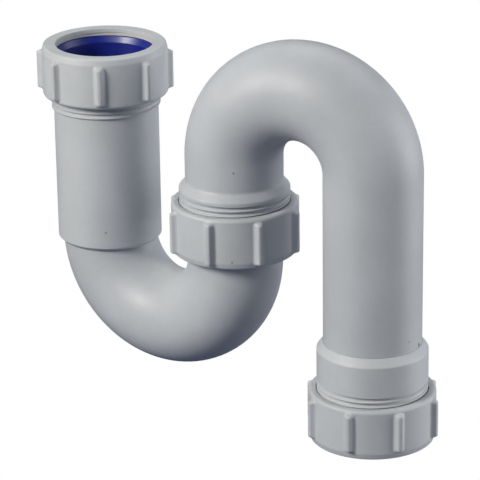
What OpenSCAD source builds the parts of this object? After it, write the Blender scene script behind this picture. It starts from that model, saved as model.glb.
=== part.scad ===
// Tubular S trap with a compression inlet, a swivel joint and a compression outlet.
// The origin is the mouth of the inlet seal's bore. +Z points up, out of the inlet.
// The U-bend lies in the XZ plane and the swivel axis is vertical, at x = u_span.

/* [Pipes] */
// Outside diameter of the plain waste tail that the inlet takes
inlet_pipe_d = 40; // [38:0.1:40.2]
// Outside diameter of the waste pipe that the outlet takes
outlet_pipe_d = 43; // [32:0.1:43.8]
// Outside diameter of the riser's spigot, inside the swivel joint
riser_d = 43; // [42.4:0.1:43.8]
// Slack of the inlet and swivel seals around their pipes, on the radius
seal_slack = 0.2; // [0.1:0.05:0.4]
// Slack of a nut's hole around the widest pipe, on the radius
hole_slack = 0.25; // [0.25:0.05:0.6]

/* [Tubes and bends] */
// Outside diameter of the S-bend's tube
tube_d = 43; // [40:0.1:44]
// Outside diameter of the U-bend's tube
u_tube_d = 42; // [38:0.1:42.4]
// Wall of both tubes
wall = 2.2; // [1.6:0.1:3]
// Radius of the U-bend's centre line
u_bend_r = 34.7; // [32:0.1:50]
// Radius of the crown's centre line
crown_r = 33; // [30:0.1:50]
// Depth of the water seal, from the crown's weir down to the U-bend's dip
seal_depth = 77; // [60:0.5:110]
// Turn of the S-bend about the swivel axis, away from the U-bend's plane
swivel_turn = 8.4; // [-100:0.1:100]

/* [Inlet sleeve] */
// Height of the inlet's mouth above the top of the U-bend's curve
inlet_rise = 78.1; // [50:0.1:150]
// Outside diameter of the sleeve
sleeve_d = 46.6; // [46:0.1:47]
// Diameter of the sleeve's waterway
sleeve_bore_d = 41; // [40.6:0.1:41.4]
// How far the sleeve's lower end drops below the top of the U-bend's curve
sleeve_drop = 3.4; // [0:0.1:4]
// Length of the U-bend's spigot inside the sleeve
inlet_spigot_l = 10; // [6:0.5:20]
// Slack of the sleeve around the U-bend's spigot, on the radius
sleeve_slack = 0.25; // [0.25:0.05:0.4]
// Chamfer on the sleeve's lower end
sleeve_chamfer = 1.3; // [0.5:0.1:1.6]

/* [Threaded sockets] */
// Diameter of a socket's collar and of its thread's crests
collar_d = 48.7; // [48:0.1:50]
// Depth of the thread
thread_depth = 1.05; // [0.8:0.05:1.2]
// Length of the thread that stays in view beyond the nut
thread_show = 4.4; // [3:0.1:8]
// Length of the plain collar on the swivel socket
swivel_collar_l = 1.8; // [1:0.1:10]
// Length of the plain collar on the outlet socket
outlet_collar_l = 14.2; // [8:0.1:30]
// Height of the cone between a collar and the tube
cone_l = 3.3; // [2:0.1:8]
// Slack of a socket's bore around its pipe, on the radius
socket_slack = 0.4; // [0.3:0.05:0.6]
// Depth of the chamfered seat in a socket's mouth
seat_depth = 1.3; // [0.8:0.1:1.6]
// Height of the outlet's mouth below the top of the U-bend's curve
outlet_drop = 64.2; // [30:0.1:200]
// Length of the S-bend's tube inside the outlet socket
leg_spigot_l = 11; // [6:0.5:14]
// Gap between the riser's top and the shoulder above it
riser_gap = 1.5; // [0.5:0.1:4]

/* [Nuts] */
// Length of the nut that grips the thread
nut_grip = 14; // [10:0.1:18]
// Outside radius of the nut between its ribs
nut_r = 27.9; // [26.5:0.1:30]
// Thickness of the nut's lip
lip_t = 2; // [1.5:0.1:3]
// Slack of the nut's bore over the thread's crests, on the radius
nut_slack = 0.2; // [0.15:0.05:0.4]
// Height of the taper below the nut's lip end
lip_taper_h = 2.8; // [2:0.1:4]
// How far the taper draws the lip end in
lip_taper_w = 0.5; // [0.2:0.1:1]
// Rounding of the nut's lip end, above the taper
lip_round = 1; // [0.5:0.1:1.5]
// Rounding of the nut's open end
rim_round = 1.8; // [0.5:0.1:2]
// Number of ribs
rib_count = 8; // [4:1:16]
// Width of a rib at its foot
rib_foot_w = 4.8; // [4:0.1:7]
// Width of a rib at its top
rib_top_w = 2.6; // [2.4:0.1:4]
// Rounding of a rib's edges and ends
rib_round = 1; // [0.5:0.1:1.2]
// How far a rib stands out of the nut
rib_out = 2.4; // [1.5:0.1:3]
// Distance from the nut's open end to its ribs
rib_start = 1.2; // [0.5:0.1:4]
// Distance from the lip end to the ribs of the inlet and outlet nuts
rib_end = 3.6; // [1:0.1:6]
// Distance from the lip end to the ribs of the swivel nut
swivel_rib_end = 1.9; // [1:0.1:6]
// Bare riser between the top of the U-bend's curve and the swivel nut
riser_bare = 4; // [3:0.5:20]

/* [Washers and seals] */
// Thickness of a slip washer
washer_t = 1.3; // [0.8:0.1:2]
// Slack of a slip washer in the nut's bore, on the radius
washer_slack = 0.35; // [0.3:0.05:0.6]
// Height of a seal's head, between the washer and the socket
seal_head = 5.2; // [3:0.1:8]
// Depth of the inlet seal's skirt inside the sleeve's mouth
skirt_l = 9; // [6:0.5:12]
// Least wall of that skirt
skirt_t = 1.6; // [1:0.1:1.8]
// Gap between faces that are pressed together in use
seat_gap = 0.1; // [0.05:0.05:0.2]
// Drop of the sloping face that leads into the inlet seal's bore
lead_in = 1.5; // [0.5:0.1:3]

/* [Hidden] */
$fn = 96;

// Colours of the moulded grey plastic, the nylon washers and the rubber
grey = [0.69, 0.71, 0.73];
grey_light = [0.73, 0.75, 0.77];
nylon = [0.88, 0.88, 0.86];
blue = [0.07, 0.09, 0.45];

// Overlap that lets a cut break cleanly through a face
cut = 0.5;
// Small edge break on the ends of tubes
edge = 0.5;

tube_r = tube_d / 2;
tube_bore_r = tube_r - wall;
u_tube_r = u_tube_d / 2;
u_bore_r = u_tube_r - wall;
spigot_r = riser_d / 2;
inlet_seal_r = inlet_pipe_d / 2 + seal_slack;
swivel_seal_r = spigot_r + seal_slack;
outlet_seal_r = outlet_pipe_d / 2;
sleeve_r = sleeve_d / 2;
sleeve_bore_r = sleeve_bore_d / 2;
collar_r = collar_d / 2;
root_r = collar_r - thread_depth;
// The three joints share one nut, washer and socket, sized for the widest of what goes in
joint_r = max(spigot_r, outlet_seal_r, inlet_seal_r + skirt_t + seat_gap - socket_slack);
socket_bore_r = joint_r + socket_slack;
seat_r = root_r - 0.9;

nut_bore_r = collar_r + nut_slack;
hole_r = joint_r + hole_slack;
// The nut reaches this far past the mouth that it closes
nut_over = 3 * seat_gap + seal_head + washer_t + lip_t;
// Distance of the washer's and the lip's inner faces from the mouth
washer_z = 2 * seat_gap + seal_head;
lip_z = washer_z + washer_t + seat_gap;
washer_r = nut_bore_r - washer_slack;
washer_hole_r = hole_r + 0.25;
head_r = nut_bore_r - washer_slack - 0.1;

u_span = 2 * u_bend_r;
crown_span = 2 * crown_r;
// The inlet seal's bore begins here above the sleeve's mouth, and that height is z = 0
inlet_mouth_z = -(seat_gap + seal_head - lead_in);
// Top of the U-bend's curve, where its two legs begin
curve_z = inlet_mouth_z - inlet_rise;
sleeve_end_z = curve_z - sleeve_drop;
swivel_mouth_z = curve_z + riser_bare + nut_over;
swivel_socket_l = nut_grip + thread_show + swivel_collar_l;
// Shoulder inside the S-bend that stops the riser, level with the collar's top
shoulder_z = swivel_mouth_z + swivel_socket_l - 1.2;
riser_top_z = shoulder_z - riser_gap;
// Centre of the crown's curve, set by the depth of the water seal
crown_z = curve_z + seal_depth - u_bend_r + u_bore_r - crown_r + tube_bore_r;
outlet_mouth_z = curve_z - outlet_drop;
outlet_socket_l = nut_grip + thread_show + outlet_collar_l;
outlet_collar_z = outlet_mouth_z + outlet_socket_l;
leg_end_z = outlet_collar_z + cone_l - leg_spigot_l;

// A ring, given by two corners of its section as [radius, height]
module ring_section(low, high) {
    translate(low) square(high - low);
}

// Angle at which a line from the point [x, y] touches a circle of radius r about the origin
function tangent_angle(x, y, r) = atan2(y, x) + acos(r / norm([x, y]));

// The nut's section before it is bored: a rounded open end, a wall, a taper and a rounded lip
module nut_section() {
    rim = [nut_r - rim_round, rim_round - nut_grip];
    lip = [nut_r - lip_taper_w - lip_round, nut_over - lip_round];
    a = tangent_angle(lip_taper_w + lip_round, lip_round - lip_taper_h, lip_round);
    polygon([
        [0, -nut_grip], [rim[0], -nut_grip], [nut_r, rim[1]],
        [nut_r, nut_over - lip_taper_h], lip + lip_round * [cos(a), sin(a)],
        [lip[0], nut_over], [0, nut_over]
    ]);
    translate(rim) circle(rim_round);
    translate(lip) circle(lip_round);
}

// Half a ring of round section, from the X axis round through +Z
module half_torus(bend_r, r) {
    rotate([90, 0, 0]) rotate_extrude(angle = 180) translate([bend_r, 0]) circle(r);
}

// A rib's section, square to the nut's axis: a tapered bar with rounded edges
module rib_section() {
    top = nut_r + rib_out;
    foot = rib_foot_w / 2;
    half = rib_top_w / 2;
    e = rib_round;
    polygon([
        [nut_r - 1, -foot], [nut_r, -foot], [top - e, -half], [top, e - half],
        [top, half - e], [top - e, half], [nut_r, foot], [nut_r - 1, foot]
    ]);
    translate([top - e, half - e]) circle(e);
    translate([top - e, e - half]) circle(e);
}

// A rib's outline from the side, from height z0 to z1, with rounded outer corners
module rib_side(z0, z1) {
    top = nut_r + rib_out;
    e = rib_round;
    polygon([
        [nut_r - 2, z0], [top - e, z0], [top, z0 + e],
        [top, z1 - e], [top - e, z1], [nut_r - 2, z1]
    ]);
    translate([top - e, z0 + e]) circle(e);
    translate([top - e, z1 - e]) circle(e);
}

module rib(z0, z1) {
    intersection() {
        translate([0, 0, z0 - cut]) linear_extrude(z1 - z0 + 2 * cut) rib_section();
        translate([0, rib_foot_w, 0]) rotate([90, 0, 0])
            linear_extrude(2 * rib_foot_w) rib_side(z0, z1);
    }
}

// The three nuts are one moulding. Height 0 is the mouth of the socket under the nut,
// and the lip points up.
module nut(first_rib, end_gap) {
    difference() {
        union() {
            rotate_extrude() nut_section();
            for (i = [0 : rib_count - 1])
                rotate(first_rib + i * 360 / rib_count)
                    rib(-nut_grip + rib_start, nut_over - end_gap);
        }
        translate([0, 0, -nut_grip - cut]) cylinder(r = nut_bore_r, h = lip_z + nut_grip + cut);
        translate([0, 0, lip_z - cut]) cylinder(r = hole_r, h = nut_over - lip_z + 2 * cut);
        // Lead-in at the open end
        translate([0, 0, -nut_grip - 0.01])
            cylinder(r1 = nut_bore_r + 0.3, r2 = nut_bore_r, h = 0.3);
    }
}

module slip_washer() {
    rotate_extrude() ring_section([washer_hole_r, washer_z], [washer_r, washer_z + washer_t]);
}

// Seal of the swivel and the outlet: a square-shouldered ring with a nose for the seat
module ring_seal(bore_r) {
    nose_z = seat_gap - seat_depth;
    rotate_extrude() polygon([
        [bore_r, nose_z],
        [socket_bore_r, nose_z],
        [seat_r, seat_gap],
        [root_r, seat_gap],
        [head_r, seat_gap + 1],
        [head_r, seat_gap + seal_head],
        [bore_r + 0.6, seat_gap + seal_head],
        [bore_r, seat_gap + seal_head - 0.8]
    ]);
}

// Seal of the inlet: a thick ring with a sloping lead-in and a skirt that lines the mouth
module deep_seal() {
    skirt_r = socket_bore_r - seat_gap;
    top = seat_gap + seal_head;
    rotate_extrude() polygon([
        [inlet_seal_r, -skirt_l],
        [skirt_r - 0.5, -skirt_l],
        [skirt_r, -skirt_l + 1.5],
        [skirt_r, seat_gap - seat_depth],
        [seat_r, seat_gap],
        [root_r, seat_gap],
        [head_r, seat_gap + 1],
        [head_r, top],
        [hole_r - 0.2, top],
        [inlet_seal_r, top - lead_in]
    ]);
}

// The chamfered seat and the bore that a socket's mouth has, from height 0 downwards
module mouth_cut(bore_r, depth) {
    translate([0, 0, -depth]) cylinder(r = bore_r, h = depth + cut);
    translate([0, 0, -seat_depth]) cylinder(r1 = bore_r, r2 = seat_r, h = seat_depth);
}

// The outside of a threaded socket, from its mouth at height 0 down to its collar.
// Its thread is at root size here.
module socket_outside(length, collar_l) {
    translate([0, 0, -length]) cylinder(r = collar_r, h = collar_l);
    translate([0, 0, -length]) cylinder(r = root_r, h = length);
}

module inlet_sleeve() {
    sleeve_l = inlet_mouth_z - sleeve_end_z;
    color(grey_light) translate([0, 0, inlet_mouth_z]) difference() {
        union() {
            translate([0, 0, -sleeve_l + sleeve_chamfer])
                cylinder(r = sleeve_r, h = sleeve_l - sleeve_chamfer);
            translate([0, 0, -sleeve_l])
                cylinder(r1 = sleeve_r - sleeve_chamfer, r2 = sleeve_r, h = sleeve_chamfer);
        }
        translate([0, 0, -sleeve_l - cut])
            cylinder(r = sleeve_bore_r, h = sleeve_l + 2 * cut);
        // Socket for the U-bend's spigot
        translate([0, 0, -sleeve_l - cut])
            cylinder(r = u_tube_r + sleeve_slack, h = sleeve_drop + inlet_spigot_l + seat_gap + cut);
        // Bell that clears the start of the bend
        translate([0, 0, -sleeve_l - 0.01])
            cylinder(r1 = u_tube_r + sleeve_slack + 0.45, r2 = u_tube_r + sleeve_slack, h = sleeve_drop);
        // Mouth that the seal's skirt lines
        mouth_cut(socket_bore_r, skirt_l + 0.5);
    }
}

module u_bend() {
    riser_l = riser_top_z - curve_z;
    // The riser steps up to the pipe's size inside the swivel nut
    step_z = riser_bare + lip_t;
    step_l = 0.8;
    color(grey) translate([0, 0, curve_z]) difference() {
        union() {
            translate([u_bend_r, 0, 0]) mirror([0, 0, 1]) half_torus(u_bend_r, u_tube_r);
            cylinder(r = u_tube_r, h = inlet_spigot_l);
            translate([u_span, 0, 0]) {
                cylinder(r = u_tube_r, h = riser_l);
                translate([0, 0, step_z]) cylinder(r1 = u_tube_r, r2 = spigot_r, h = step_l);
                translate([0, 0, step_z + step_l])
                    cylinder(r = spigot_r, h = riser_l - step_z - step_l - edge);
                translate([0, 0, riser_l - edge])
                    cylinder(r1 = spigot_r, r2 = spigot_r - edge, h = edge);
            }
        }
        translate([u_bend_r, 0, 0]) mirror([0, 0, 1]) half_torus(u_bend_r, u_bore_r);
        cylinder(r = u_bore_r, h = inlet_spigot_l + cut);
        translate([u_span, 0, 0]) cylinder(r = u_bore_r, h = riser_l + cut);
    }
}

// Places what turns with the S-bend
module on_swivel() {
    translate([u_span, 0, 0]) rotate(swivel_turn) children();
}

module on_outlet() {
    on_swivel() translate([crown_span, 0, 0]) children();
}

// Turns a joint over, so that its lip points down from a mouth at height z
module facing_down(z) {
    translate([0, 0, z]) mirror([0, 0, 1]) children();
}

module s_bend() {
    short_leg_l = crown_z - shoulder_z;
    cone_z = swivel_mouth_z + swivel_socket_l;
    color(grey) on_swivel() difference() {
        union() {
            translate([crown_r, 0, crown_z]) half_torus(crown_r, tube_r);
            translate([0, 0, shoulder_z]) cylinder(r = tube_r, h = short_leg_l);
            translate([crown_span, 0, leg_end_z]) cylinder(r = tube_r, h = crown_z - leg_end_z);
            translate([0, 0, cone_z]) cylinder(r1 = collar_r, r2 = tube_r, h = cone_l);
            facing_down(swivel_mouth_z) socket_outside(swivel_socket_l, swivel_collar_l);
        }
        translate([crown_r, 0, crown_z]) half_torus(crown_r, tube_bore_r);
        translate([0, 0, shoulder_z - cut])
            cylinder(r = tube_bore_r, h = short_leg_l + cut);
        translate([crown_span, 0, leg_end_z - cut])
            cylinder(r = tube_bore_r, h = crown_z - leg_end_z + cut);
        facing_down(swivel_mouth_z) mouth_cut(socket_bore_r, shoulder_z - swivel_mouth_z);
    }
}

module outlet_socket() {
    color(grey_light) on_outlet() difference() {
        union() {
            facing_down(outlet_mouth_z) socket_outside(outlet_socket_l, outlet_collar_l);
            translate([0, 0, outlet_collar_z]) cylinder(r1 = collar_r, r2 = tube_r + 0.4, h = cone_l);
        }
        facing_down(outlet_mouth_z) mouth_cut(socket_bore_r, leg_end_z - outlet_mouth_z);
        // The leg is cemented in from above
        translate([0, 0, leg_end_z - cut])
            cylinder(r = tube_r + seat_gap, h = leg_spigot_l + 2 * cut);
    }
}

module inlet_seal() {
    color(blue) translate([0, 0, inlet_mouth_z]) deep_seal();
}

module inlet_slip_washer() {
    color(nylon) translate([0, 0, inlet_mouth_z]) slip_washer();
}

module inlet_nut() {
    color(grey_light) translate([0, 0, inlet_mouth_z]) nut(-57.4, rib_end);
}

module swivel_seal() {
    color(blue) on_swivel() facing_down(swivel_mouth_z) ring_seal(swivel_seal_r);
}

module swivel_slip_washer() {
    color(nylon) on_swivel() facing_down(swivel_mouth_z) slip_washer();
}

module swivel_nut() {
    color(grey) on_swivel() facing_down(swivel_mouth_z) nut(3.4, swivel_rib_end);
}

module outlet_seal() {
    color(blue) on_outlet() facing_down(outlet_mouth_z) ring_seal(outlet_seal_r);
}

module outlet_slip_washer() {
    color(nylon) on_outlet() facing_down(outlet_mouth_z) slip_washer();
}

module outlet_nut() {
    color(grey) on_outlet() facing_down(outlet_mouth_z) nut(3.2, rib_end);
}

inlet_sleeve();
inlet_seal();
inlet_slip_washer();
inlet_nut();
u_bend();
s_bend();
swivel_seal();
swivel_slip_washer();
swivel_nut();
outlet_socket();
outlet_seal();
outlet_slip_washer();
outlet_nut();
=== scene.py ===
"""Tubular S trap in grey plastic.

It has a sleeve inlet with a deep blue seal, a U-bend, a swivelling S-bend and three ribbed nuts.
"""
import logging
import math
from dataclasses import dataclass
from enum import Enum
from typing import Callable, Sequence

import bpy
import numpy as np
from mathutils import Matrix, Vector


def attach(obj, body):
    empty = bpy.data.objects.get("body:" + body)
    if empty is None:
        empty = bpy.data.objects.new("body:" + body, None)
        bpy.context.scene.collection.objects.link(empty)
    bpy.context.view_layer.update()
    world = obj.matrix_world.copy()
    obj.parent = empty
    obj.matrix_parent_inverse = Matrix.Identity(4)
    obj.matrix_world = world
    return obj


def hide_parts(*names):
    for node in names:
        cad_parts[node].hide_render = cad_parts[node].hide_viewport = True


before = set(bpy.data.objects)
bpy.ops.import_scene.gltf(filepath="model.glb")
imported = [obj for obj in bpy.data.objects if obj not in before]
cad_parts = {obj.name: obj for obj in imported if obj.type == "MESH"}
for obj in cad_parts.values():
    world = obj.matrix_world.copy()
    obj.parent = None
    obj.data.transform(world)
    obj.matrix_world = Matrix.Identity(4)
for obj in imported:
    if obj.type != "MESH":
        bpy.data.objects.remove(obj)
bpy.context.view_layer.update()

MM = 0.001
log = logging.getLogger("s_trap")

Array = np.ndarray
Point = tuple[float, float, float]


def round_angles(count: int) -> Array:
    """That many angles evenly round a circle, in radians, without the closing one."""
    return np.linspace(0, 2 * math.pi, count, endpoint=False)


def toward(azimuth: float, elevation: float) -> Vector:
    """The unit vector at an azimuth from -Y towards +X and an elevation, both in degrees."""
    a, e = math.radians(azimuth), math.radians(elevation)
    return Vector((math.sin(a) * math.cos(e), -math.cos(a) * math.cos(e), math.sin(e)))


def smoothstep(x: Array) -> Array:
    """Rises from 0 to 1 as x goes from 0 to 1, level at both ends: 3x^2 - 2x^3 with x held in that range."""
    t = np.clip(x, 0.0, 1.0)
    return t * t * (3.0 - 2.0 * t)


# Paths


@dataclass(frozen=True)
class StraightPath:
    """A straight axis. Distance along it is s, from start in the direction of axis."""

    start: Point
    axis: Point = (0.0, 0.0, 1.0)

    def frames(self, s: Array) -> tuple[Array, Array, Array, Array]:
        """Point, side, back and direction at each s.

        Args:
            s: Distances along the path, in mm.

        Returns:
            Four arrays of shape (len(s), 3). Side, back and direction are square to each other, right-handed.
        """
        along = np.broadcast_to(np.array(self.axis, float), (len(s), 3))
        side = np.broadcast_to(np.array((1.0, 0.0, 0.0)), (len(s), 3))
        point = np.array(self.start) + s[:, None] * along
        return point, side, np.cross(along, side), along


@dataclass(frozen=True)
class HairpinPath:
    """Up, round half a turn and down again, or the same turned over.

    The first leg stands on start. The arc begins after it, at the distance first, and leads to a second leg
    at 2 * radius in the direction turn, given in degrees about Z from +X.
    """

    start: Point
    first: float
    radius: float
    turn: float = 0.0
    up: float = 1.0

    def frames(self, s: Array) -> tuple[Array, Array, Array, Array]:
        """Point, side, back and direction at each s.

        On the arc the angle is a = (s - first) / radius, the point is radius * (1 - cos a) out and
        radius * sin a up, and the side points away from the arc's centre.

        Args:
            s: Distances along the path, in mm.

        Returns:
            Four arrays of shape (len(s), 3), right-handed.
        """
        out = np.array((math.cos(math.radians(self.turn)), math.sin(math.radians(self.turn)), 0.0))
        rise = np.array((0.0, 0.0, self.up))
        a = np.clip((s - self.first) / self.radius, 0.0, math.pi)
        leg = np.minimum(s, self.first)
        tail = np.maximum(s - self.first - math.pi * self.radius, 0.0)
        flat = (self.radius * (1.0 - np.cos(a)))[:, None] * out
        high = (leg + self.radius * np.sin(a) - tail)[:, None] * rise
        point = np.array(self.start) + flat + high
        along = np.sin(a)[:, None] * out + np.cos(a)[:, None] * rise
        side = -np.cos(a)[:, None] * out + np.sin(a)[:, None] * rise
        return point, side, np.cross(along, side), along


Path = StraightPath | HairpinPath


# Outlines and surfaces

# Fillets of moulded edges, in mm, from the sharpest
SHARP, CRISP, SOFT, EASED = 0.1, 0.15, 0.2, 0.3
# A fillet takes at most this share of the shorter side beside it
FILLET_SHARE = 0.49
# Two distances from an axis are the same within this, in mm
SAME = 0.02


@dataclass(frozen=True)
class Corner:
    """A corner of a closed outline.

    It lies at s along the path and r from it, and has its fillet's radius and the outline's step after it.
    """

    s: float
    r: float
    fillet: float = CRISP
    step: float = 2.0


def rounded_outline(
    corners: Sequence[Corner], arc_points: int = 5, guard: float = 0.12
) -> tuple[Array, Array]:
    """A closed outline with a round fillet at each corner.

    A fillet of radius f at a corner of turning angle b starts and ends f * tan(b / 2) from the corner. Each
    straight run between two fillets is divided evenly, with one more point just inside each of its ends, so
    that shading stays flat on it.

    Args:
        corners: The corners in order.
        arc_points: Points on each fillet.
        guard: How far inside a straight run's ends the extra points lie, in mm.

    Returns:
        The s and the r of each point, in mm.
    """
    pts = np.array([(c.s, c.r) for c in corners], float)
    before, after = np.roll(pts, 1, 0) - pts, np.roll(pts, -1, 0) - pts
    reach = np.minimum(np.linalg.norm(before, axis=1), np.linalg.norm(after, axis=1)) * FILLET_SHARE
    before /= np.linalg.norm(before, axis=1)[:, None]
    after /= np.linalg.norm(after, axis=1)[:, None]
    inner = np.arccos(np.clip((before * after).sum(1), -1, 1))
    trim = np.minimum(np.array([c.fillet for c in corners]) / np.tan(inner / 2), reach)
    t = np.linspace(0.0, 1.0, arc_points)[:, None]
    rows = []
    for i, corner in enumerate(corners):
        here = pts[i]
        p0, p2 = here + before[i] * trim[i], here + after[i] * trim[i]
        w = math.sin(inner[i] / 2)
        q = (1 - t) ** 2 * p0 + 2 * w * t * (1 - t) * here + t**2 * p2
        rows.append(q / ((1 - t) ** 2 + 2 * w * t * (1 - t) + t**2))
        j = (i + 1) % len(corners)
        end = pts[j] + before[j] * trim[j]
        run = np.linalg.norm(end - p2)
        if run > 1e-6:
            n = max(1, math.ceil(run / corner.step))
            k = np.linspace(0.0, 1.0, n + 1)[1:-1]
            inset = min(guard, 0.2 * run) / run
            k = np.unique(np.concatenate([k, [inset, 1 - inset]]))
            rows.append(p2 + k[:, None] * (end - p2))
    loop = np.concatenate(rows)
    keep = np.linalg.norm(loop - np.roll(loop, 1, 0), axis=1) > 1e-4
    return loop[keep, 0], loop[keep, 1]


Relief = Callable[[Array, Array, Array], Array]


def swept_shell(path: Path, s: Array, r: Array, theta: Array, relief: Relief | None = None) -> Array:
    """A closed skin: the outline (s, r) carried round the path.

    A point's place is the path's point at s plus (r + relief) * (side * cos theta + back * sin theta).

    Args:
        path: The axis that the outline goes round.
        s: Distance along the path of each outline point, in mm.
        r: Distance from the path of each outline point, in mm.
        theta: Angles round the path, in radians, without the closing one.
        relief: Added to r, from arrays of s, r and theta of the grid's shape.

    Returns:
        Points in mm of shape (len(s), len(theta), 3).
    """
    point, side, back, _ = path.frames(s)
    ss, tt = np.meshgrid(s, theta, indexing="ij")
    rr = np.repeat(r[:, None], len(theta), 1)
    if relief is not None:
        rr = rr + relief(ss, rr, tt)
    round_it = np.cos(tt)[..., None] * side[:, None] + np.sin(tt)[..., None] * back[:, None]
    return point[:, None] + rr[..., None] * round_it


def grid_object(name: str, grid: Array) -> bpy.types.Object:
    """Turns a grid of points, closed both ways, into a mesh object with its faces outwards.

    Each face joins grid points (i, j), (i + 1, j), (i + 1, j + 1) and (i, j + 1). The signed volume, a third
    of the sum of centre . area over the faces, tells which way round the corners go.

    Args:
        name: The piece's name.
        grid: Points in mm of shape (rows, columns, 3).

    Returns:
        The new object, in metres, at the origin.
    """
    rows, cols = grid.shape[:2]
    index = np.arange(rows * cols).reshape(rows, cols)
    down, right = np.roll(index, -1, 0), np.roll(index, -1, 1)
    across = np.roll(down, -1, 1)
    faces = np.stack([index, down, across, right], -1).reshape(-1, 4)
    flat = grid.reshape(-1, 3) * MM
    p = flat[faces]
    area = np.cross(p[:, 2] - p[:, 0], p[:, 3] - p[:, 1]) / 2
    if (p.mean(1) * area).sum() < 0:
        faces = faces[:, ::-1]
    mesh = bpy.data.meshes.new(name)
    mesh.vertices.add(len(flat))
    mesh.vertices.foreach_set("co", flat.astype(np.float32).ravel())
    mesh.loops.add(faces.size)
    mesh.loops.foreach_set("vertex_index", faces.ravel().astype(np.int32))
    mesh.polygons.add(len(faces))
    mesh.polygons.foreach_set("loop_start", np.arange(0, faces.size, 4, dtype=np.int32))
    mesh.update(calc_edges=True)
    mesh.validate()
    mesh.polygons.foreach_set("use_smooth", np.ones(len(faces), bool))
    obj = bpy.data.objects.new(name, mesh)
    bpy.context.scene.collection.objects.link(obj)
    return obj


@dataclass(frozen=True)
class Thread:
    """A moulded thread. Its ridge runs right-handed round the path, from start to stop along it.

    Pitch, depth, start and stop are in mm. Half-widths of the crest and the foot are in pitches, and the
    shift and the fade at the ends are in turns.
    """

    pitch: float = 2.309
    depth: float = 0.98
    start: float = 0.8
    stop: float = 17.5
    crest: float = 0.08
    foot: float = 0.3
    shift: float = 0.0
    fade: float = 0.12

    def height(self, s: Array, theta: Array) -> Array:
        """Height of the ridge over the root.

        The place across the ridge is x = s / pitch - theta / 2 pi - shift less the nearest whole number k.
        The place along it is k + theta / 2 pi + shift in turns. The height falls smoothly from crest to foot
        in x and fades out over a part of a turn at both ends.

        Args:
            s: Distance along the path, in mm.
            theta: Angle round the path, in radians.

        Returns:
            The height, in mm.
        """
        turn = theta / (2 * math.pi)
        place = s / self.pitch - turn - self.shift
        k = np.round(place)
        x = np.abs(place - k)
        flank = smoothstep((self.foot - x) / (self.foot - self.crest))
        along = k + turn + self.shift
        ends = smoothstep((along - self.start / self.pitch) / self.fade)
        ends *= smoothstep((self.stop / self.pitch - along) / self.fade)
        return self.depth * flank * ends


# Finishes


Socket = bpy.types.NodeSocket
Span = tuple[float, float]


class Slot(Enum):
    """The record's material slots."""

    PLASTIC = "grey_plastic"
    PLASTIC_LIGHT = "grey_plastic_light"
    NYLON = "nylon"
    RUBBER = "blue_rubber"


@dataclass(frozen=True)
class Speck:
    """A small mark on a piece: its place and size in mm, and its colour in linear light.

    Ragged is how far a noise wears its edge back and fade is where it ends, both as shares of the size.
    """

    place: Point
    size: float
    colour: Point
    strength: float = 0.8
    ragged: float = 0.9
    fade: float = 1.5


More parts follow.
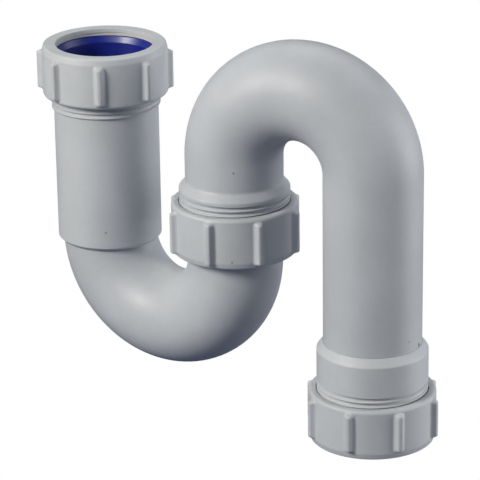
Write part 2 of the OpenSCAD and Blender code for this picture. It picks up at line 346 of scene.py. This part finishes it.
@dataclass(frozen=True)
class MouldedFinish:
    """A moulded plastic or rubber: colour with slow drifts and fine grain, and a faintly uneven gloss.

    The scales are those of the noises, in cells a metre, and bump_height is in metres.
    """

    name: str
    slot: Slot
    colour: Point
    drift: float = 0.05
    grain: float = 0.35
    roughness: tuple[float, float] = (0.42, 0.52)
    bump: float = 0.12
    specular: float = 0.42
    drift_scale: float = 38.0
    grain_scale: float = 420.0
    gloss_scale: float = 90.0
    bump_scale: float = 700.0
    bump_height: float = 0.0003
    specks: tuple[Speck, ...] = ()

    def material(self) -> bpy.types.Material:
        """Builds the node material.

        Two noises on Object coordinates darken and lighten the colour: one slow, one fine. A third sets the
        gloss and a fourth, very fine, the bump. Each speck is a ball round its place with a noisy edge.

        Returns:
            The material.
        """
        mat = bpy.data.materials.new(self.name)
        mat.use_nodes = True
        tree = mat.node_tree
        shader = tree.nodes["Principled BSDF"]
        coord = tree.nodes.new("ShaderNodeTexCoord").outputs["Object"]
        slow = self._noise(tree, coord, self.drift_scale, 3.0)
        fine = self._noise(tree, coord, self.grain_scale, 2.0)
        speckle = self.drift * self.grain
        light = self._range(tree, slow, (0.3, 0.7), (1.0 - self.drift, 1.0 + self.drift))
        grain = self._range(tree, fine, (0.25, 0.75), (1.0 - speckle, 1.0 + speckle))
        both = tree.nodes.new("ShaderNodeMath")
        both.operation = "MULTIPLY"
        tree.links.new(light, both.inputs[0])
        tree.links.new(grain, both.inputs[1])
        tint = tree.nodes.new("ShaderNodeVectorMath")
        tint.operation = "SCALE"
        tint.inputs[0].default_value = self.colour
        tree.links.new(both.outputs[0], tint.inputs["Scale"])
        colour = tint.outputs[0]
        for speck in self.specks:
            colour = self._mark(tree, coord, fine, colour, speck)
        tree.links.new(colour, shader.inputs["Base Color"])
        gloss = self._range(tree, self._noise(tree, coord, self.gloss_scale, 2.0), (0.3, 0.7), self.roughness)
        tree.links.new(gloss, shader.inputs["Roughness"])
        bump = tree.nodes.new("ShaderNodeBump")
        bump.inputs["Strength"].default_value = self.bump
        bump.inputs["Distance"].default_value = self.bump_height
        tree.links.new(self._noise(tree, coord, self.bump_scale, 2.0), bump.inputs["Height"])
        tree.links.new(bump.outputs["Normal"], shader.inputs["Normal"])
        shader.inputs["Specular IOR Level"].default_value = self.specular
        return mat

    @staticmethod
    def _noise(tree: bpy.types.NodeTree, coord: Socket, scale: float, detail: float) -> Socket:
        """A noise of that scale per metre; returns its value socket."""
        node = tree.nodes.new("ShaderNodeTexNoise")
        node.inputs["Scale"].default_value = scale
        node.inputs["Detail"].default_value = detail
        tree.links.new(coord, node.inputs["Vector"])
        return node.outputs["Fac"]

    @staticmethod
    def _range(tree: bpy.types.NodeTree, value: Socket, old: Span, new: Span) -> Socket:
        """Maps value from the old span to the new one, held at both ends; returns the result socket."""
        node = tree.nodes.new("ShaderNodeMapRange")
        for i, number in enumerate((*old, *new), 1):
            node.inputs[i].default_value = number
        tree.links.new(value, node.inputs[0])
        return node.outputs[0]

    def _mark(
        self, tree: bpy.types.NodeTree, coord: Socket, noise: Socket, colour: Socket, speck: Speck
    ) -> Socket:
        """Mixes one speck into a colour.

        The speck's strength falls to nothing as distance + ragged * size * noise goes from size to
        fade * size.

        Args:
            tree: The material's nodes.
            coord: Object coordinates.
            noise: A noise that makes the speck's edge uneven.
            colour: The colour so far.
            speck: The speck.

        Returns:
            The mixed colour's socket.
        """
        size = speck.size * MM
        away = tree.nodes.new("ShaderNodeVectorMath")
        away.operation = "DISTANCE"
        tree.links.new(coord, away.inputs[0])
        away.inputs[1].default_value = [q * MM for q in speck.place]
        rough = tree.nodes.new("ShaderNodeMath")
        rough.operation = "MULTIPLY_ADD"
        tree.links.new(noise, rough.inputs[0])
        rough.inputs[1].default_value = size * speck.ragged
        tree.links.new(away.outputs["Value"], rough.inputs[2])
        amount = self._range(tree, rough.outputs[0], (size, size * speck.fade), (speck.strength, 0.0))
        mix = tree.nodes.new("ShaderNodeMix")
        mix.data_type = "RGBA"
        tree.links.new(amount, mix.inputs["Factor"])
        tree.links.new(colour, mix.inputs["A"])
        mix.inputs["B"].default_value = (*speck.colour, 1.0)
        return mix.outputs["Result"]


SOOT = (0.05, 0.05, 0.06)
CEMENT = (0.1, 0.07, 0.035)
BEND_GREY = MouldedFinish(
    "bend plastic",
    Slot.PLASTIC,
    (0.43, 0.45, 0.475),
    specks=(
        Speck((81.57, -17.72, -35.96), 0.7, SOOT, 0.6),
        Speck((155.83, 13.57, -109.3), 1.0, CEMENT, 0.8),
        Speck((155.9, 13.1, -108.3), 0.6, CEMENT, 0.6),
        Speck((155.77, 5.44, -104.95), 0.6, CEMENT, 0.4),
    ),
)
SOCKET_GREY = MouldedFinish(
    "socket plastic",
    Slot.PLASTIC_LIGHT,
    (0.46, 0.48, 0.50),
    specks=(Speck((12.77, -19.48, -76.38), 0.6, SOOT, 0.45),),
)
NUT_GREY = MouldedFinish(
    "nut plastic",
    Slot.PLASTIC,
    (0.45, 0.47, 0.49),
    roughness=(0.44, 0.54),
    specks=(Speck((84.26, -23.61, -74.4), 0.6, SOOT, 0.55),),
)
INLET_NUT_GREY = MouldedFinish(
    "inlet nut plastic", Slot.PLASTIC_LIGHT, (0.47, 0.49, 0.505), roughness=(0.44, 0.54)
)
WASHER_NYLON = MouldedFinish("washer nylon", Slot.NYLON, (0.5, 0.5, 0.49), drift=0.03, roughness=(0.4, 0.5))
BLUE_RUBBER = MouldedFinish(
    "blue rubber",
    Slot.RUBBER,
    (0.002, 0.01, 0.19),
    drift=0.12,
    roughness=(0.36, 0.44),
    bump=0.05,
    specular=0.7,
)


@dataclass(frozen=True)
class Piece:
    """A finished piece: the CAD node it stands for, the body it rides on, its finish and its skin."""

    node: str
    body: str
    finish: MouldedFinish
    grid: Array

    def place(self, materials: dict[str, bpy.types.Material]) -> bpy.types.Object:
        """Makes the object, dresses it and ties it to its body.

        Args:
            materials: The materials made so far, by finish name; a new one is added.

        Returns:
            The object.
        """
        obj = grid_object(self.node + "_skin", self.grid)
        if self.finish.name not in materials:
            materials[self.finish.name] = self.finish.material()
        obj.data.materials.append(materials[self.finish.name])
        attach(obj, self.body)
        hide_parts(self.node)
        log.info("%s: %d faces on %s", obj.name, len(obj.data.polygons), self.body)
        return obj


# The trap's own sizes, in mm, as in the model's source


@dataclass(frozen=True)
class Joint:
    """A compression joint. Distances are along its axis from the socket's mouth, positive outwards.

    The same nut, slip washer and seal serve all three joints.
    """

    name: str
    mouth: Point
    up: float
    socket_body: str
    nut_finish: MouldedFinish
    first_rib: float
    thread_shift: float = -0.3
    rib_end: float = 3.0
    seal_bore_r: float = 21.5
    deep_seal: bool = False
    # Nut
    grip: float = 14.0
    over: float = 8.8
    nut_r: float = 27.9
    bore_r: float = 24.55
    hole_r: float = 21.75
    lip_t: float = 2.0
    lead_in: float = 0.3
    taper: tuple[float, float] = (2.8, 0.72)
    nut_mouth_round: float = 1.8
    nut_taper_round: float = 2.5
    lip_round: float = 1.0
    groove_depth: float = 0.9
    groove_start: float = 0.4
    groove_stop: float = 4.2
    plain_bore: float = 1.0
    # Ribs
    rib_count: int = 8
    rib_out: float = 2.4
    rib_foot: float = 2.4
    rib_top: float = 1.3
    rib_round: float = 1.0
    rib_start: float = 1.5
    rib_steep_end: float = 1.6
    rib_end_power: float = 2.6
    rib_foot_fade: float = 0.6
    rib_foot_ease: float = 0.2
    rib_reach: float = 2.0
    rib_blend: float = 1.5
    rib_columns: int = 40
    rib_even_share: float = 0.42
    # Washer and seal
    gap: float = 0.1
    washer_t: float = 1.3
    washer_hole_r: float = 22.0
    washer_r: float = 24.2
    head: float = 5.2
    head_r: float = 24.1
    head_chamfer: float = 1.0
    seal_lip: tuple[float, float] = (0.8, 0.6)
    tail_r: float = 20.2
    skirt_end: float = -9.0
    skirt_taper: tuple[float, float] = (1.5, 0.5)
    tail_lead_in: float = 2.6
    # Socket
    root_r: float = 23.3
    seat_r: float = 22.4
    socket_bore_r: float = 21.9
    seat_depth: float = 1.3

    def path(self) -> StraightPath:
        """The joint's axis, from the mouth outwards."""
        return StraightPath(self.mouth, (0.0, 0.0, self.up))

    def rib_angles(self) -> Array:
        """Angles of the ribs round the path, in radians, from the source's first rib."""
        a = np.radians(self.first_rib + np.arange(self.rib_count) * 360.0 / self.rib_count)
        return np.mod(a * self.up, 2 * math.pi)

    def nut_theta(self) -> Array:
        """Angles round the nut, close together on each rib and wider between them.

        Half of a rib's share of the circle is taken at e * t + (1 - e) * t^3, where e is rib_even_share and
        t goes evenly from -1 to 1.

        Returns:
            The angles, in radians, from the smallest.
        """
        half = math.pi / self.rib_count
        t = np.linspace(-1.0, 1.0, self.rib_columns + 1)[:-1]
        spread = half * (self.rib_even_share * t + (1.0 - self.rib_even_share) * t**3)
        return np.sort(np.mod((self.rib_angles()[:, None] + spread).ravel(), 2 * math.pi))

    def rib_height(self, away: Array) -> Array:
        """A rib's height over the nut at a distance from the rib's middle line.

        The top's edge is a quarter circle of radius rib_round that ends at rib_top. A straight flank of
        height a falls from there to the foot, and (a + sqrt(a^2 + rib_foot_ease^2)) / 2 eases it into the
        wall.

        Args:
            away: Distances from the middle line, in mm.

        Returns:
            The heights, in mm.
        """
        shoulder = self.rib_out - self.rib_round
        edge = np.clip(away - (self.rib_top - self.rib_round), 0.0, self.rib_round)
        top = shoulder + np.sqrt(self.rib_round**2 - edge**2)
        flank = shoulder * (self.rib_foot - away) / (self.rib_foot - self.rib_top)
        eased = (flank + np.sqrt(flank**2 + self.rib_foot_ease**2)) / 2
        eased *= smoothstep((self.rib_foot + self.rib_foot_fade - away) / self.rib_foot_fade)
        return np.where(away < self.rib_top, top, np.minimum(eased, shoulder))

    def nut_relief(self, s: Array, r: Array, theta: Array) -> Array:
        """Ribs on the outside and the thread in the bore.

        A rib's middle line stops short of both of its ends by its own rounding. Past that the distance along
        the nut counts rib_steep_end times. With p for rib_end_power, the distance from the middle line is
        (across^p + along^p)^(1 / p), so that the ends are round and steeper than the flanks. The ribs reach
        rib_reach into the nut's rounded edges and fade out there. The bore is plain next to the lip.

        Args:
            s: Distance along the axis, in mm.
            r: Distance from it, in mm.
            theta: Angle round it, in radians.

        Returns:
            What is added to r, in mm.
        """
        turned = np.mod(theta[..., None] - self.rib_angles() + math.pi, 2 * math.pi) - math.pi
        across = np.abs(turned).min(-1) * self.nut_r
        inset = self.rib_foot / self.rib_steep_end
        low, high = self.rib_start - self.grip + inset, self.over - self.rib_end - inset
        along = self.rib_steep_end * np.abs(s - np.clip(s, low, high))
        power = self.rib_end_power
        rib = self.rib_height((across**power + along**power) ** (1 / power))
        outside = smoothstep((r - self.nut_r + self.rib_reach) / self.rib_blend)
        in_bore = (np.abs(r - self.bore_r) < SAME) & (s < self.over - self.lip_t - self.plain_bore)
        groove = Thread(
            depth=self.groove_depth,
            start=self.groove_start - self.grip,
            stop=self.groove_stop,
            shift=self.thread_shift + 0.5,
        )
        return rib * outside - groove.height(s, theta) * in_bore

    def nut(self) -> Piece:
        """The nut: wall, lip and hole in one outline, with ribs and thread as relief.

        Returns:
            The nut, on its own body.
        """
        end, top, (taper_h, taper_w) = -self.grip, self.over, self.taper
        s, r = rounded_outline(
            [
                Corner(end, self.bore_r + self.lead_in, SHARP, step=0.8),
                Corner(end, self.nut_r, self.nut_mouth_round, step=0.5),
                Corner(top - taper_h, self.nut_r, self.nut_taper_round, step=0.4),
                Corner(top, self.nut_r - taper_w, self.lip_round, step=0.8),
                Corner(top, self.hole_r, SOFT, step=0.5),
                Corner(top - self.lip_t, self.hole_r, CRISP, step=0.8),
                Corner(top - self.lip_t, self.bore_r, EASED, step=0.2),
                Corner(end + self.lead_in, self.bore_r, SHARP, step=0.4),
            ]
        )
        grid = swept_shell(self.path(), s, r, self.nut_theta(), self.nut_relief)
        return Piece(f"{self.name}_nut", f"{self.name}_nut_body", self.nut_finish, grid)

    def washer(self) -> Piece:
        """The slip washer: a flat ring with softened edges, on the seal's head.

        Returns:
            The washer, on its own body.
        """
        low = self.gap + self.head + self.gap
        high = low + self.washer_t
        hole, rim = self.washer_hole_r, self.washer_r
        ring = [(low, hole), (low, rim), (high, rim), (high, hole)]
        s, r = rounded_outline([Corner(*place, SOFT) for place in ring])
        grid = swept_shell(self.path(), s, r, round_angles(144))
        return Piece(f"{self.name}_slip_washer", f"{self.name}_washer_body", WASHER_NYLON, grid)

    def seal(self) -> Piece:
        """The seal: a ring with a nose in the socket's seat.

        The deep one has a sloping lead-in as well, and a skirt that lines the socket.

        Returns:
            The seal, on the socket's body.
        """
        gap, top, nose = self.gap, self.gap + self.head, self.gap - self.seat_depth
        head = [
            Corner(gap, self.seat_r),
            Corner(gap, self.root_r),
            Corner(gap + self.head_chamfer, self.head_r, SOFT),
            Corner(top, self.head_r, SOFT),
        ]
        if self.deep_seal:
            skirt_r, (taper_h, taper_w) = self.socket_bore_r - gap, self.skirt_taper
            below = [
                Corner(self.skirt_end, self.tail_r, EASED),
                Corner(self.skirt_end, skirt_r - taper_w, SOFT),
                Corner(self.skirt_end + taper_h, skirt_r, 0.4),
                Corner(nose, skirt_r),
            ]
            above = [
                Corner(top, self.hole_r - 0.2, 0.25, step=0.3),
                Corner(top - self.tail_lead_in, self.tail_r, 0.9, step=1.0),
            ]
        else:
            lip_h, lip_w = self.seal_lip
            below = [Corner(nose, self.seal_bore_r, SHARP), Corner(nose, self.socket_bore_r, 0.08)]
            above = [Corner(top, self.seal_bore_r + lip_w, SOFT), Corner(top - lip_h, self.seal_bore_r, 0.4)]
        s, r = rounded_outline([*below, *head, *above])
        grid = swept_shell(self.path(), s, r, round_angles(168))
        return Piece(f"{self.name}_seal", self.socket_body, BLUE_RUBBER, grid)


@dataclass(frozen=True)
class Trap:
    """The whole trap. Heights are on the inlet's axis, whose top is 0.

    What the sockets share with the joints, such as the thread's root, is read from Joint.
    """

    inlet_mouth: float = -3.8
    curve: float = -81.9
    u_radius: float = 34.7
    crown_radius: float = 33.0
    crown: float = -34.5
    turn: float = 8.4
    riser_bare: float = 4.0
    outlet_drop: float = 64.2
    # Tubes
    tube_r: float = 21.5
    tube_bore_r: float = 19.3
    u_tube_r: float = 21.0
    u_bore_r: float = 18.8
    u_spigot: float = 10.0
    riser_r: float = 21.5
    riser_step: float = 0.8
    riser_step_inside: float = 2.0
    stop_depth: float = 19.0
    stop_gap: float = 1.5
    # Sockets
    show: float = 4.4
    collar_r: float = 24.35
    collar_h: float = 1.8
    collar_round: float = 1.3
    cone_h: float = 3.3
    cone_round: float = 2.0
    outlet_collar: float = 32.6
    outlet_overlap: float = 11.0
    outlet_edge: float = 0.25
    cement_gap: float = 0.02
    leg_fit: float = 0.1
    thread_end: float = 0.7
    thread_step: float = 0.22
    # Turns of the three threads about their paths
    sleeve_shift: float = 0.13
    swivel_shift: float = 0.8
    outlet_shift: float = 0.3
    # Sleeve
    sleeve_r: float = 23.3
    sleeve_bore_r: float = 20.5
    sleeve_thread: float = 21.5
    sleeve_over: float = 3.4
    sleeve_overlap: float = 13.5
    sleeve_chamfer: float = 1.3
    sleeve_flare: float = 0.7
    sleeve_fit: float = 0.25
    seal_pocket: float = 9.5

    @property
    def swivel(self) -> tuple[float, float]:
        """Where the swivel axis stands."""
        return 2 * self.u_radius, 0.0

    @property
    def swivel_mouth(self) -> float:
        """Height of the swivel socket's mouth."""
        return self.curve + self.riser_bare + Joint.over

    @property
    def outlet(self) -> tuple[float, float]:
        """Where the outlet's axis stands."""
        a = math.radians(self.turn)
        return self.swivel[0] + 2 * self.crown_radius * math.cos(a), 2 * self.crown_radius * math.sin(a)

    @property
    def outlet_mouth(self) -> float:
        """Height of the outlet socket's mouth."""
        return self.curve - self.outlet_drop

    @property
    def collar(self) -> float:
        """Distance from a socket's mouth to its collar."""
        return Joint.grip + self.show

    def joints(self) -> list[Joint]:
        """The three compression joints.

        Returns:
            The joints, from the inlet to the outlet.
        """
        inlet = Joint(
            "inlet",
            mouth=(0.0, 0.0, self.inlet_mouth),
            up=1.0,
            socket_body="trap_body",
            nut_finish=INLET_NUT_GREY,
            first_rib=-57.4,
            thread_shift=-0.13,
            deep_seal=True,
        )
        swivel = Joint(
            "swivel",
            mouth=(*self.swivel, self.swivel_mouth),
            up=-1.0,
            socket_body="swing",
            nut_finish=NUT_GREY,
            first_rib=self.turn + 3.4,
            rib_end=1.1,
            seal_bore_r=21.7,
        )
        outlet = Joint(
            "outlet",
            mouth=(*self.outlet, self.outlet_mouth),
            up=-1.0,
            socket_body="swing",
            nut_finish=NUT_GREY,
            first_rib=self.turn + 3.2,
        )
        return [inlet, swivel, outlet]

    def socket_relief(self, length: float, shift: float) -> Relief:
        """The thread on a socket's outside.

        Args:
            length: Length of the threaded stretch from the mouth.
            shift: The thread's turn about the path, in turns.

        Returns:
            The relief, which acts only where the outline is at the thread's root.
        """
        thread = Thread(stop=length - self.thread_end, shift=shift)

        def relief(s: Array, r: Array, theta: Array) -> Array:
            """The ridge's height on the root, nothing elsewhere."""
            on_root = (np.abs(r - Joint.root_r) < SAME) & (s > 0) & (s < length + 0.3)
            return thread.height(s, theta) * on_root

        return relief

    def socket_outline(self, beyond: Sequence[Corner]) -> tuple[Array, Array]:
        """A socket's outline: the mouth with its seat, and the corners beyond the thread.

        Args:
            beyond: The corners from the thread's end to the bore's end.

        Returns:
            The s and the r of each point, in mm.
        """
        seat = Corner(Joint.seat_depth, Joint.socket_bore_r, SHARP)
        root = Corner(0.0, Joint.root_r, EASED, self.thread_step)
        return rounded_outline([Corner(0.0, Joint.seat_r, SHARP), root, *beyond, seat])

    def sleeve(self) -> Piece:
        """The inlet sleeve, its outline taken from the mouth downwards: thread, wall, lower end and bore.

        Returns:
            The sleeve.
        """
        end = self.inlet_mouth - self.curve + self.sleeve_over
        inside = end - self.sleeve_overlap
        fit_r = self.u_tube_r + self.sleeve_fit
        s, r = self.socket_outline(
            [
                Corner(self.sleeve_thread, Joint.root_r, step=2.5),
                Corner(end - self.sleeve_chamfer, self.sleeve_r, 0.4, step=0.5),
                Corner(end, self.sleeve_r - self.sleeve_chamfer, SOFT, step=0.3),
                Corner(end, self.u_tube_r + self.sleeve_flare, SHARP, step=0.5),
                Corner(end - self.sleeve_over, fit_r, EASED),
                Corner(inside, fit_r, SHARP),
                Corner(inside, self.sleeve_bore_r, step=4.0),
                Corner(self.seal_pocket, self.sleeve_bore_r),
                Corner(self.seal_pocket, Joint.socket_bore_r),
            ]
        )
        path = StraightPath((0.0, 0.0, self.inlet_mouth), (0.0, 0.0, -1.0))
        relief = self.socket_relief(self.sleeve_thread, self.sleeve_shift)
        grid = swept_shell(path, s, r, round_angles(180), relief)
        return Piece("inlet_sleeve", "trap_body", SOCKET_GREY, grid)

    def u_bend(self) -> Piece:
        """The U-bend, from its spigot in the sleeve, down, round and up the riser.

        Returns:
            The U-bend.
        """
        riser = self.swivel_mouth + self.stop_depth - self.stop_gap - self.curve
        end = self.u_spigot + math.pi * self.u_radius + riser
        step = end - riser + self.riser_bare + self.riser_step_inside
        s, r = rounded_outline(
            [
                Corner(0.0, self.u_bore_r, EASED),
                Corner(0.0, self.u_tube_r, 0.4, step=1.8),
                Corner(step, self.u_tube_r, 0.5, step=0.4),
                Corner(step + self.riser_step, self.riser_r, 0.5, step=1.5),
                Corner(end, self.riser_r, 0.6, step=0.5),
                Corner(end, self.u_bore_r, EASED, step=2.2),
            ]
        )
        path = HairpinPath((0.0, 0.0, self.curve + self.u_spigot), self.u_spigot, self.u_radius, up=-1.0)
        return Piece("u_bend", "trap_body", BEND_GREY, swept_shell(path, s, r, round_angles(160)))

    def s_bend(self) -> Piece:
        """The S-bend: the swivel socket with its collar and cone, then the crown and the long leg.

        Returns:
            The S-bend.
        """
        first = self.crown - self.swivel_mouth
        leg_end = self.outlet_mouth + self.outlet_collar + self.cone_h - self.outlet_overlap
        end = first + math.pi * self.crown_radius + self.crown - leg_end
        cone = self.collar + self.collar_h
        s, r = self.socket_outline(
            [
                Corner(self.collar, Joint.root_r, 0.25, step=0.2),
                Corner(self.collar, self.collar_r, EASED, step=0.4),
                Corner(cone, self.collar_r, self.collar_round, step=0.6),
                Corner(cone + self.cone_h, self.tube_r, self.cone_round, step=1.8),
                Corner(end, self.tube_r, 0.4),
                Corner(end, self.tube_bore_r, EASED, step=2.2),
                Corner(self.stop_depth, self.tube_bore_r, EASED),
                Corner(self.stop_depth, Joint.socket_bore_r, EASED, step=1.5),
            ]
        )
        path = HairpinPath((*self.swivel, self.swivel_mouth), first, self.crown_radius, self.turn)
        relief = self.socket_relief(self.collar, self.swivel_shift + self.turn / 360)
        return Piece("s_bend", "swing", BEND_GREY, swept_shell(path, s, r, round_angles(168), relief))

    def outlet_socket(self) -> Piece:
        """The outlet socket, from its mouth upwards: thread, collar, cone and its top edge on the leg.

        Returns:
            The socket.
        """
        top = self.outlet_collar + self.cone_h
        inside = top - self.outlet_overlap
        s, r = self.socket_outline(
            [
                Corner(self.collar, Joint.root_r, 0.25, step=0.2),
                Corner(self.collar, self.collar_r, EASED, step=0.8),
                Corner(self.outlet_collar, self.collar_r, self.collar_round, step=0.6),
                Corner(top, self.tube_r + self.outlet_edge, 0.12, step=0.2),
                Corner(top, self.tube_r + self.cement_gap, 0.05),
                Corner(inside, self.tube_r + self.leg_fit, 0.05),
                Corner(inside, Joint.socket_bore_r, 0.05),
            ]
        )
        path = StraightPath((*self.outlet, self.outlet_mouth))
        relief = self.socket_relief(self.collar, self.outlet_shift)
        grid = swept_shell(path, s, r, round_angles(180), relief)
        return Piece("outlet_socket", "swing", SOCKET_GREY, grid)

    def pieces(self) -> list[Piece]:
        """Every piece, in the order of assembly."""
        rings = [piece for joint in self.joints() for piece in (joint.seal(), joint.washer(), joint.nut())]
        return [self.sleeve(), self.u_bend(), self.s_bend(), self.outlet_socket(), *rings]


# Studio


@dataclass(frozen=True)
class PhotoCamera:
    """The camera, at the photograph's viewing angle.

    Target, distance and sensor are in mm, and the clipping distances in metres. The focal length, the place
    of the target in the picture and the picture's side are in pixels.
    """

    target: Point = (69.4, 0.0, -81.9)
    azimuth: float = 35.4
    elevation: float = 20.84
    roll: float = -0.86
    distance: float = 1218.0
    focal: float = 2770.1
    centre: tuple[float, float] = (235.54, 256.2)
    size: float = 480.0
    sensor: float = 36.0
    clip: tuple[float, float] = (0.05, 50.0)

    def place(self) -> bpy.types.Object:
        """Makes the camera and sets it as the scene's.

        It looks at target along its own axis, and the small shift puts that point at centre.

        Returns:
            The camera.
        """
        back, roll = toward(self.azimuth, self.elevation), math.radians(self.roll)
        right = (-back).cross(Vector((0, 0, 1))).normalized()
        up = right.cross(-back)
        x = right * math.cos(roll) + up * math.sin(roll)
        y = up * math.cos(roll) - right * math.sin(roll)
        data = bpy.data.cameras.new("camera")
        data.sensor_width = self.sensor
        data.lens = self.focal / self.size * self.sensor
        data.shift_x = (self.size / 2 - self.centre[0]) / self.size
        data.shift_y = (self.centre[1] - self.size / 2) / self.size
        data.clip_start, data.clip_end = self.clip
        cam = bpy.data.objects.new("camera", data)
        turn = Matrix((x, y, back)).transposed().to_4x4()
        cam.matrix_world = Matrix.Translation((Vector(self.target) + back * self.distance) * MM) @ turn
        bpy.context.scene.collection.objects.link(cam)
        bpy.context.scene.camera = cam
        return cam


@dataclass(frozen=True)
class SoftBox:
    """A square soft light that faces the trap.

    Azimuth and elevation say where it stands, in degrees. Its power is in watts, and its side and its
    distance are in metres.
    """

    name: str
    azimuth: float
    elevation: float
    power: float
    colour: Point = (1.0, 1.0, 1.0)
    side: float = 0.7
    distance: float = 1.5

    def place(self, aim: Vector) -> bpy.types.Object:
        """Makes the light, facing aim.

        Args:
            aim: The point it faces, in metres.

        Returns:
            The light.
        """
        back = toward(self.azimuth, self.elevation)
        data = bpy.data.lights.new(self.name, "AREA")
        data.shape, data.size, data.energy, data.color = "SQUARE", self.side, self.power, self.colour
        light = bpy.data.objects.new(self.name, data)
        turn = back.to_track_quat("Z", "Y").to_matrix().to_4x4()
        light.matrix_world = Matrix.Translation(aim + back * self.distance) @ turn
        light.visible_camera = False
        bpy.context.scene.collection.objects.link(light)
        return light


@dataclass(frozen=True)
class Studio:
    """A plain white floor well below the trap, soft lights and a faint surround.

    The floor is as white as the photograph's background and lights nothing itself, so that the low light
    alone stands for what a table sends back. Lengths are in metres.
    """

    aim: Point = (0.07, 0.0, -0.07)
    floor_z: float = -1.0
    floor_side: float = 14.0
    surround: Point = (0.037, 0.048, 0.12)
    lights: tuple[SoftBox, ...] = (
        SoftBox("key", -24.6, 30.0, 22.0, (1.0, 0.96, 0.87), side=0.42),
        SoftBox("top", 15.4, 55.0, 1.4, (0.97, 1.0, 0.9)),
        SoftBox("rim", 125.4, 5.0, 18.9, (1.0, 1.0, 0.97), side=1.1),
        SoftBox("side", 95.4, 5.0, 3.2, (1.0, 0.95, 0.6), side=1.1),
        SoftBox("back", 215.4, 55.0, 5.3, (0.98, 1.0, 0.85)),
        SoftBox("low", -24.6, -35.0, 2.4, (0.95, 1.0, 0.85)),
        SoftBox("window", -3.0, 42.0, 3.4, (0.97, 0.98, 0.95), side=1.1),
        SoftBox("far side", 155.4, 55.0, 2.2),
    )

    def floor(self) -> bpy.types.Object:
        """Makes the floor, hidden from diffuse, glossy and shadow rays.

        Returns:
            The floor.
        """
        half = self.floor_side / 2
        mesh = bpy.data.meshes.new("floor")
        square = ((-half, -half), (half, -half), (half, half), (-half, half))
        mesh.from_pydata([(x, y, self.floor_z) for x, y in square], [], [(0, 1, 2, 3)])
        floor = bpy.data.objects.new("floor", mesh)
        bpy.context.scene.collection.objects.link(floor)
        mat = bpy.data.materials.new("floor")
        mat.use_nodes = True
        shader = mat.node_tree.nodes["Principled BSDF"]
        shader.inputs["Base Color"].default_value = (0.0, 0.0, 0.0, 1.0)
        shader.inputs["Specular IOR Level"].default_value = 0.0
        shader.inputs["Emission Color"].default_value = (1.0, 1.0, 1.0, 1.0)
        shader.inputs["Emission Strength"].default_value = 1.0
        mesh.materials.append(mat)
        floor.visible_diffuse = floor.visible_glossy = floor.visible_shadow = False
        return floor

    def build(self) -> None:
        """Makes the floor, the surround and the lights. Seen past the floor's edge, the surround is white."""
        self.floor()
        world = bpy.data.worlds.new("surround")
        world.use_nodes = True
        tree = world.node_tree
        seen = tree.nodes.new("ShaderNodeLightPath").outputs["Is Camera Ray"]
        mix = tree.nodes.new("ShaderNodeMix")
        mix.data_type = "RGBA"
        mix.inputs["A"].default_value = (*self.surround, 1.0)
        mix.inputs["B"].default_value = (1.0, 1.0, 1.0, 1.0)
        tree.links.new(seen, mix.inputs["Factor"])
        tree.links.new(mix.outputs["Result"], tree.nodes["Background"].inputs["Color"])
        bpy.context.scene.world = world
        for light in self.lights:
            light.place(Vector(self.aim))
        bpy.context.scene.view_settings.view_transform = "Standard"


def main() -> None:
    """Builds the trap, the studio and the camera."""
    logging.basicConfig(level=logging.INFO, format="%(name)s: %(message)s")
    materials: dict[str, bpy.types.Material] = {}
    for piece in Trap().pieces():
        piece.place(materials)
    PhotoCamera().place()
    Studio().build()


if __name__ == "__main__":
    main()
